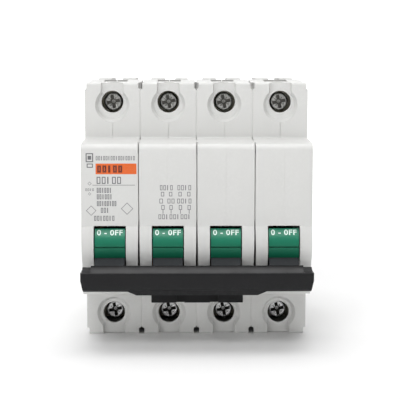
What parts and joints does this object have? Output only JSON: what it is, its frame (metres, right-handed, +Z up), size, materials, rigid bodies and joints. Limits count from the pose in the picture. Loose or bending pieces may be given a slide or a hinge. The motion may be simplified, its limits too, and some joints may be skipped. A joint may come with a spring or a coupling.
{
  "type": "miniature circuit breaker",
  "caption": "Modular circuit breaker for a mounting rail, with linked toggles, a tie bar, screw box terminals, rail clips and a contact linkage.",
  "frame": {"origin": "middle of the base, centre of the overall box in X and Y", "axes": "+Z up, the front face and toggles look along -Y, +X across the poles to the user's right"},
  "size_m": [0.0716, 0.0754, 0.0835],
  "materials": {
    "case_plastic": "light grey moulded polyamide, fine satin",
    "toggle_plastic": "green moulded plastic, satin",
    "bar_plastic": "dark grey moulded plastic, satin",
    "clip_plastic": "dark grey moulded plastic",
    "trip_plastic": "natural moulded plastic",
    "screw_steel": "bright zinc-plated steel",
    "cage_steel": "zinc-plated pressed steel",
    "copper": "bare copper strip",
    "coil_wire": "enamelled copper winding",
    "arc_steel": "plain steel plates",
    "rod_steel": "plain steel wire and rod"
  },
  "bodies": {
    "case": {"case_left_1": "case_plastic", "case_right_1": "case_plastic", "line_conductor_1": "copper", "load_conductor_1": "copper", "trip_coil_1": "coil_wire", "arc_chute_1": "arc_steel", "case_left_2": "case_plastic", "case_right_2": "case_plastic", "line_conductor_2": "copper", "load_conductor_2": "copper", "trip_coil_2": "coil_wire", "arc_chute_2": "arc_steel", "case_left_3": "case_plastic", "case_right_3": "case_plastic", "line_conductor_3": "copper", "load_conductor_3": "copper", "trip_coil_3": "coil_wire", "arc_chute_3": "arc_steel", "case_left_4": "case_plastic", "case_right_4": "case_plastic", "line_conductor_4": "copper", "load_conductor_4": "copper", "trip_coil_4": "coil_wire", "arc_chute_4": "arc_steel", "rear_rivet": "rod_steel", "front_rivet": "rod_steel"},
    "handle": {"handle_tie_bar": "bar_plastic", "toggle_1": "toggle_plastic", "toggle_2": "toggle_plastic", "toggle_3": "toggle_plastic", "toggle_4": "toggle_plastic"},
    "contact_arm_1": {"contact_arm_1": "copper"},
    "link_1": {"link_rod_1": "rod_steel"},
    "contact_arm_2": {"contact_arm_2": "copper"},
    "link_2": {"link_rod_2": "rod_steel"},
    "contact_arm_3": {"contact_arm_3": "copper"},
    "link_3": {"link_rod_3": "rod_steel"},
    "contact_arm_4": {"contact_arm_4": "copper"},
    "link_4": {"link_rod_4": "rod_steel"},
    "trip_bar": {"trip_bar": "trip_plastic"},
    "upper_screw_1": {"upper_screw_1": "screw_steel"},
    "upper_cage_1": {"upper_cage_1": "cage_steel"},
    "upper_screw_2": {"upper_screw_2": "screw_steel"},
    "upper_cage_2": {"upper_cage_2": "cage_steel"},
    "upper_screw_3": {"upper_screw_3": "screw_steel"},
    "upper_cage_3": {"upper_cage_3": "cage_steel"},
    "upper_screw_4": {"upper_screw_4": "screw_steel"},
    "upper_cage_4": {"upper_cage_4": "cage_steel"},
    "lower_screw_1": {"lower_screw_1": "screw_steel"},
    "lower_cage_1": {"lower_cage_1": "cage_steel"},
    "lower_screw_2": {"lower_screw_2": "screw_steel"},
    "lower_cage_2": {"lower_cage_2": "cage_steel"},
    "lower_screw_3": {"lower_screw_3": "screw_steel"},
    "lower_cage_3": {"lower_cage_3": "cage_steel"},
    "lower_screw_4": {"lower_screw_4": "screw_steel"},
    "lower_cage_4": {"lower_cage_4": "cage_steel"},
    "clip_1": {"rail_clip_1": "clip_plastic"},
    "clip_2": {"rail_clip_2": "clip_plastic"},
    "clip_3": {"rail_clip_3": "clip_plastic"},
    "clip_4": {"rail_clip_4": "clip_plastic"}
  },
  "joints": [
    {"name": "handle_throw", "type": "hinge", "parent": "case", "child": "handle", "pos_m": [0, -0.01925, 0.031], "axis": [-1, 0, 0], "range_deg": [0, 56]},
    {"name": "link_pivot_1", "type": "hinge", "parent": "handle", "child": "link_1", "pos_m": [-0.027, -0.01925, 0.037], "axis": [-1, 0, 0], "range_deg": [-64.8, 0]},
    {"name": "contact_arm_pivot_1", "type": "hinge", "parent": "case", "child": "contact_arm_1", "pos_m": [-0.027, 0.00125, 0.027], "axis": [-1, 0, 0], "range_deg": [0, 24.7]},
    {"name": "link_pivot_2", "type": "hinge", "parent": "handle", "child": "link_2", "pos_m": [-0.009, -0.01925, 0.037], "axis": [-1, 0, 0], "range_deg": [-64.8, 0]},
    {"name": "contact_arm_pivot_2", "type": "hinge", "parent": "case", "child": "contact_arm_2", "pos_m": [-0.009, 0.00125, 0.027], "axis": [-1, 0, 0], "range_deg": [0, 24.7]},
    {"name": "link_pivot_3", "type": "hinge", "parent": "handle", "child": "link_3", "pos_m": [0.009, -0.01925, 0.037], "axis": [-1, 0, 0], "range_deg": [-64.8, 0]},
    {"name": "contact_arm_pivot_3", "type": "hinge", "parent": "case", "child": "contact_arm_3", "pos_m": [0.009, 0.00125, 0.027], "axis": [-1, 0, 0], "range_deg": [0, 24.7]},
    {"name": "link_pivot_4", "type": "hinge", "parent": "handle", "child": "link_4", "pos_m": [0.027, -0.01925, 0.037], "axis": [-1, 0, 0], "range_deg": [-64.8, 0]},
    {"name": "contact_arm_pivot_4", "type": "hinge", "parent": "case", "child": "contact_arm_4", "pos_m": [0.027, 0.00125, 0.027], "axis": [-1, 0, 0], "range_deg": [0, 24.7]},
    {"name": "trip_bar_turn", "type": "hinge", "parent": "case", "child": "trip_bar", "pos_m": [0, -0.00725, 0.0645], "axis": [-1, 0, 0], "range_deg": [0, 8], "stiffness_Nm_per_rad": 0.002},
    {"name": "upper_screw_turn_1", "type": "hinge", "parent": "case", "child": "upper_screw_1", "pos_m": [-0.027, -0.00575, 0.0759], "axis": [0, 1, 0], "range_deg": [0, 2520]},
    {"name": "upper_cage_slide_1", "type": "slide", "parent": "case", "child": "upper_cage_1", "axis": [0, -1, 0], "range_m": [0, 0.0056]},
    {"name": "upper_screw_turn_2", "type": "hinge", "parent": "case", "child": "upper_screw_2", "pos_m": [-0.009, -0.00575, 0.0759], "axis": [0, 1, 0], "range_deg": [0, 2520]},
    {"name": "upper_cage_slide_2", "type": "slide", "parent": "case", "child": "upper_cage_2", "axis": [0, -1, 0], "range_m": [0, 0.0056]},
    {"name": "upper_screw_turn_3", "type": "hinge", "parent": "case", "child": "upper_screw_3", "pos_m": [0.009, -0.00575, 0.0759], "axis": [0, 1, 0], "range_deg": [0, 2520]},
    {"name": "upper_cage_slide_3", "type": "slide", "parent": "case", "child": "upper_cage_3", "axis": [0, -1, 0], "range_m": [0, 0.0056]},
    {"name": "upper_screw_turn_4", "type": "hinge", "parent": "case", "child": "upper_screw_4", "pos_m": [0.027, -0.00575, 0.0759], "axis": [0, 1, 0], "range_deg": [0, 2520]},
    {"name": "upper_cage_slide_4", "type": "slide", "parent": "case", "child": "upper_cage_4", "axis": [0, -1, 0], "range_m": [0, 0.0056]},
    {"name": "lower_screw_turn_1", "type": "hinge", "parent": "case", "child": "lower_screw_1", "pos_m": [-0.027, -0.00575, 0.0069], "axis": [0, 1, 0], "range_deg": [0, 2520]},
    {"name": "lower_cage_slide_1", "type": "slide", "parent": "case", "child": "lower_cage_1", "axis": [0, -1, 0], "range_m": [0, 0.0056]},
    {"name": "lower_screw_turn_2", "type": "hinge", "parent": "case", "child": "lower_screw_2", "pos_m": [-0.009, -0.00575, 0.0069], "axis": [0, 1, 0], "range_deg": [0, 2520]},
    {"name": "lower_cage_slide_2", "type": "slide", "parent": "case", "child": "lower_cage_2", "axis": [0, -1, 0], "range_m": [0, 0.0056]},
    {"name": "lower_screw_turn_3", "type": "hinge", "parent": "case", "child": "lower_screw_3", "pos_m": [0.009, -0.00575, 0.0069], "axis": [0, 1, 0], "range_deg": [0, 2520]},
    {"name": "lower_cage_slide_3", "type": "slide", "parent": "case", "child": "lower_cage_3", "axis": [0, -1, 0], "range_m": [0, 0.0056]},
    {"name": "lower_screw_turn_4", "type": "hinge", "parent": "case", "child": "lower_screw_4", "pos_m": [0.027, -0.00575, 0.0069], "axis": [0, 1, 0], "range_deg": [0, 2520]},
    {"name": "lower_cage_slide_4", "type": "slide", "parent": "case", "child": "lower_cage_4", "axis": [0, -1, 0], "range_m": [0, 0.0056]},
    {"name": "clip_slide_1", "type": "slide", "parent": "case", "child": "clip_1", "axis": [0, 0, -1], "range_m": [0, 0.0046]},
    {"name": "clip_slide_2", "type": "slide", "parent": "case", "child": "clip_2", "axis": [0, 0, -1], "range_m": [0, 0.0046]},
    {"name": "clip_slide_3", "type": "slide", "parent": "case", "child": "clip_3", "axis": [0, 0, -1], "range_m": [0, 0.0046]},
    {"name": "clip_slide_4", "type": "slide", "parent": "case", "child": "clip_4", "axis": [0, 0, -1], "range_m": [0, 0.0046]}
  ],
  "couplings": [
    {"joint": "link_pivot_1", "follows": "handle_throw", "ratio": -1.1541},
    {"joint": "contact_arm_pivot_1", "follows": "handle_throw", "ratio": 0.43929},
    {"joint": "link_pivot_2", "follows": "handle_throw", "ratio": -1.1541},
    {"joint": "contact_arm_pivot_2", "follows": "handle_throw", "ratio": 0.43929},
    {"joint": "link_pivot_3", "follows": "handle_throw", "ratio": -1.1541},
    {"joint": "contact_arm_pivot_3", "follows": "handle_throw", "ratio": 0.43929},
    {"joint": "link_pivot_4", "follows": "handle_throw", "ratio": -1.1541},
    {"joint": "contact_arm_pivot_4", "follows": "handle_throw", "ratio": 0.43929},
    {"joint": "upper_screw_turn_1", "follows": "upper_cage_slide_1", "rad_per_m": 7850},
    {"joint": "upper_screw_turn_2", "follows": "upper_cage_slide_2", "rad_per_m": 7850},
    {"joint": "upper_screw_turn_3", "follows": "upper_cage_slide_3", "rad_per_m": 7850},
    {"joint": "upper_screw_turn_4", "follows": "upper_cage_slide_4", "rad_per_m": 7850},
    {"joint": "lower_screw_turn_1", "follows": "lower_cage_slide_1", "rad_per_m": 7850},
    {"joint": "lower_screw_turn_2", "follows": "lower_cage_slide_2", "rad_per_m": 7850},
    {"joint": "lower_screw_turn_3", "follows": "lower_cage_slide_3", "rad_per_m": 7850},
    {"joint": "lower_screw_turn_4", "follows": "lower_cage_slide_4", "rad_per_m": 7850}
  ]
}
